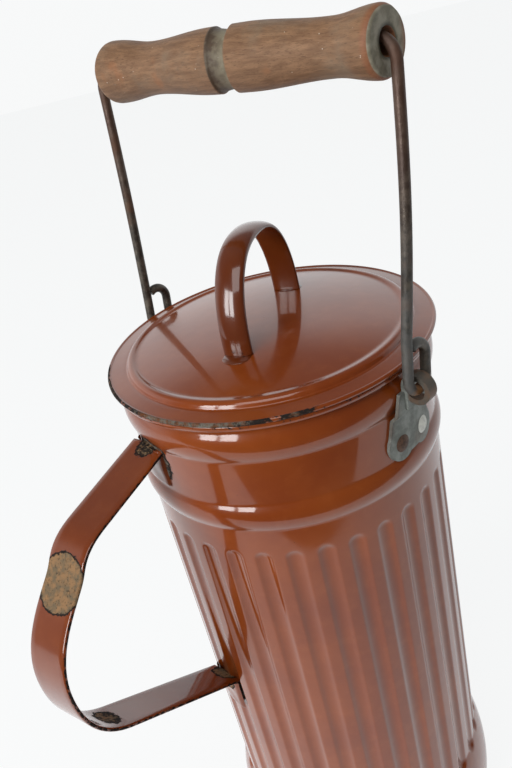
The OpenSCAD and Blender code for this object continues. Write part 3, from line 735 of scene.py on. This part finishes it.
def make_grip():
    half, cols = GRIP_L / 2, 96
    xs = np.concatenate([np.linspace(-half, -12, 70), np.arange(-11.7, 11.8, 0.3), np.linspace(12, half, 70)])
    left = [(BORE_R, -half), (BORE_R + 3.0, -half + 0.02), (9.0, -half + 0.03), (grip_r(-half) - 0.5, -half + 0.03)]
    right = [(grip_r(half) - 0.5, half - 0.03), (9.0, half - 0.03), (BORE_R + 3.0, half - 0.02),
             (BORE_R + 0.4, half - 0.02)]
    bore = [(BORE_R + 0.02, half - 0.5), (BORE_R + 0.02, 0.0), (BORE_R + 0.02, -half + 0.5)]
    p = np.array(left + [(grip_r(x) - 0.03, x) for x in xs] + right + bore)
    a = np.arange(cols) * 2 * np.pi / cols
    y, z = np.cos(a), np.sin(a)
    # the groove deepens to the right and ends in a sharp lip
    s = p[:, 1, None] + GROOVE_OFF + math.tan(math.radians(GROOVE_TILT)) * p[:, 0, None] * y
    lo, hi = -GROOVE_W / 2, GROOVE_W / 2
    fall = np.clip((s - lo) / (hi - 1.5 - lo), 0, 1)
    deep = GROOVE_DEEP * (0.30 * np.clip((s - lo) / 0.7, 0, 1) + 0.70 * fall ** 0.8)
    lip = np.clip((hi + 0.5 - s) / 0.7, 0, 1)
    outer = (p[:, 0] > 9.5)[:, None]
    r = p[:, 0, None] - np.where(outer, deep * lip * (s > lo), 0)
    v = np.stack([np.repeat(p[:, 1, None], cols, 1), r * y, r * z], -1).reshape(-1, 3)
    v = turn(v + (GRIP_SLID, 0, 0), "Z", TWIST) + (0, -LOOP_A, BAIL_H)
    add_mesh("grip_look", bail_place(v), grid_faces(len(p), cols, True, True), "grip", ["grip"], WOOD)


make_grip()


# Other pieces, as packed
def dress(node, material):
    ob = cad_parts[node]
    ob.data.materials.clear()
    ob.data.materials.append(material)


dress("rim_wire", IRON)
dress("base_pan", PLAIN_ENAMEL)
dress("ear_right", ZINC)
dress("ear_left", ZINC)
dress("ear_rivets_iron", IRON)
dress("ear_rivet_white", WHITE)


# Stage, light and camera
# Ground directions: towards the camera, and away from it to the far edge of the table
TO_CAMERA = (0.742, -0.671, 0.0)
WALL_LIGHT, ROOM_LIGHT = 0.95, 0.10
FRONT_EDGE, FAR_EDGE, HALF_WIDTH = 0.36, 4.0, 5.0


def stage():
    """A white table that ends before the camera, and a white room with a dark side there."""
    me = bpy.data.meshes.new("floor")
    f = np.array(TO_CAMERA[:2])
    g = np.array([-f[1], f[0]]) * HALF_WIDTH
    corners = [f * FRONT_EDGE - g, f * FRONT_EDGE + g, -f * FAR_EDGE + g, -f * FAR_EDGE - g]
    me.from_pydata([(*c, 0) for c in corners], [], [(0, 1, 2, 3)])
    floor = bpy.data.objects.new("floor", me)
    bpy.context.scene.collection.objects.link(floor)
    n = Nodes("floor_white")
    n.set(Base_Color=(0.60, 0.605, 0.61), Roughness=0.9, Emission_Color=(0.97, 0.98, 1.0), Emission_Strength=0.42)
    plain = n.t.nodes.new("ShaderNodeEmission")
    plain.inputs["Color"].default_value = (0.955, 0.965, 0.965, 1)
    ray = n.t.nodes.new("ShaderNodeLightPath").outputs["Is Camera Ray"]
    blend = n.t.nodes.new("ShaderNodeMixShader")
    n.put(blend.inputs[0], n.times(ray, 0.85))
    n.put(blend.inputs[1], n.bsdf.outputs[0])
    n.put(blend.inputs[2], plain.outputs[0])
    n.put(n.t.nodes["Material Output"].inputs["Surface"], blend.outputs[0])
    me.materials.append(n.mat)
    world = bpy.data.worlds.new("world")
    bpy.context.scene.world = world
    world.use_nodes = True
    t = world.node_tree

    def math_node(op, a, b):
        m = t.nodes.new("ShaderNodeMath")
        m.operation = op
        for sock, v in zip(m.inputs, (a, b)):
            if hasattr(v, "is_linked"):
                t.links.new(v, sock)
            else:
                sock.default_value = v
        return m.outputs[0]

    def ramp(v, lo, hi, a, b):
        m = t.nodes.new("ShaderNodeMapRange")
        m.interpolation_type = "SMOOTHSTEP"
        t.links.new(v, m.inputs["Value"])
        for k, x in (("From Min", lo), ("From Max", hi), ("To Min", a), ("To Max", b)):
            m.inputs[k].default_value = x
        return m.outputs["Result"]

    way = t.nodes.new("ShaderNodeSeparateXYZ")
    t.links.new(t.nodes.new("ShaderNodeTexCoord").outputs["Generated"], way.inputs[0])
    front = math_node("ADD", math_node("MULTIPLY", way.outputs[0], TO_CAMERA[0]),
                      math_node("MULTIPLY", way.outputs[1], TO_CAMERA[1]))
    wall = ramp(front, -0.25, 0.30, 1.0, 0.0)
    ceiling = ramp(way.outputs[2], 0.46, 0.68, 1.0, 0.14)
    level = math_node("ADD", math_node("MULTIPLY", math_node("MULTIPLY", wall, ceiling), WALL_LIGHT), ROOM_LIGHT)
    bg = t.nodes["Background"]
    bg.inputs["Color"].default_value = (0.97, 0.985, 1.0, 1)
    t.links.new(level, bg.inputs["Strength"])
    seen = t.nodes.new("ShaderNodeBackground")
    seen.inputs["Color"].default_value = (0.935, 0.943, 0.945, 1)
    path = t.nodes.new("ShaderNodeLightPath")
    mix = t.nodes.new("ShaderNodeMixShader")
    t.links.new(path.outputs["Is Camera Ray"], mix.inputs[0])
    t.links.new(bg.outputs[0], mix.inputs[1])
    t.links.new(seen.outputs[0], mix.inputs[2])
    t.links.new(mix.outputs[0], t.nodes["World Output"].inputs["Surface"])


LIGHT_TARGET = (0, 0, 0.25)


def softbox(name, loc, size, size_y, power):
    """An area light that points at the can and isn't seen itself."""
    li = bpy.data.lights.new(name, "AREA")
    li.shape = "RECTANGLE"
    li.size = size
    li.size_y = size_y
    li.energy = power
    ob = bpy.data.objects.new(name, li)
    bpy.context.scene.collection.objects.link(ob)
    ob.location = loc
    ob.rotation_euler = (Vector(LIGHT_TARGET) - ob.location).to_track_quat("-Z", "Y").to_euler()
    ob.visible_camera = False


# The photograph's camera, fitted to it: focal length and aim in pixels of its height, angles, distance in mm
FOCAL_PX, PHOTO_H_PX, AIM_PX = 785.0, 768, (11.99, -50.46)
CAM_AZ, CAM_EL, CAM_ROLL, CAM_DIST = 47.89, 25.19, -13.16, 357.94
SENSOR = 36


def camera():
    f, dist, (ox, oy) = FOCAL_PX, CAM_DIST, AIM_PX
    az, el, roll = map(math.radians, (CAM_AZ, CAM_EL, CAM_ROLL))
    back = np.array([math.sin(az) * math.cos(el), -math.cos(az) * math.cos(el), math.sin(el)])
    c = back * dist
    right = np.array([math.cos(az), math.sin(az), 0.0])
    m = np.array([right, np.cross(back, right), back])
    m = np.array([[math.cos(roll), math.sin(roll), 0], [-math.sin(roll), math.cos(roll), 0], [0, 0, 1]]) @ m
    ty, tx = math.atan2(ox, f), math.atan2(oy, f)
    ry = np.array([[math.cos(ty), 0, -math.sin(ty)], [0, 1, 0], [math.sin(ty), 0, math.cos(ty)]])
    rx = np.array([[1, 0, 0], [0, math.cos(tx), math.sin(tx)], [0, -math.sin(tx), math.cos(tx)]])
    m = rx @ ry @ m
    cam = bpy.data.cameras.new("camera")
    cam.sensor_width = SENSOR
    cam.lens = SENSOR * f / PHOTO_H_PX
    cam.clip_start = 0.01
    cam.clip_end = 50
    ob = bpy.data.objects.new("camera", cam)
    bpy.context.scene.collection.objects.link(ob)
    loc = (c + np.array([0, 0, RIM_H])) * MM
    mat = Matrix([[*m[:, k], loc[k]] for k in range(3)] + [[0, 0, 0, 1]])
    ob.matrix_world = mat
    bpy.context.scene.camera = ob


stage()
softbox("pane_left", (-0.25, -2.0, 0.95), 0.42, 1.0, 16)
softbox("pane_right", (0.25, -2.0, 0.95), 0.42, 1.0, 16)
softbox("fill", (0.9, -1.4, 2.2), 1.6, 1.6, 26)
camera()
bpy.context.scene.view_settings.view_transform = "Standard"
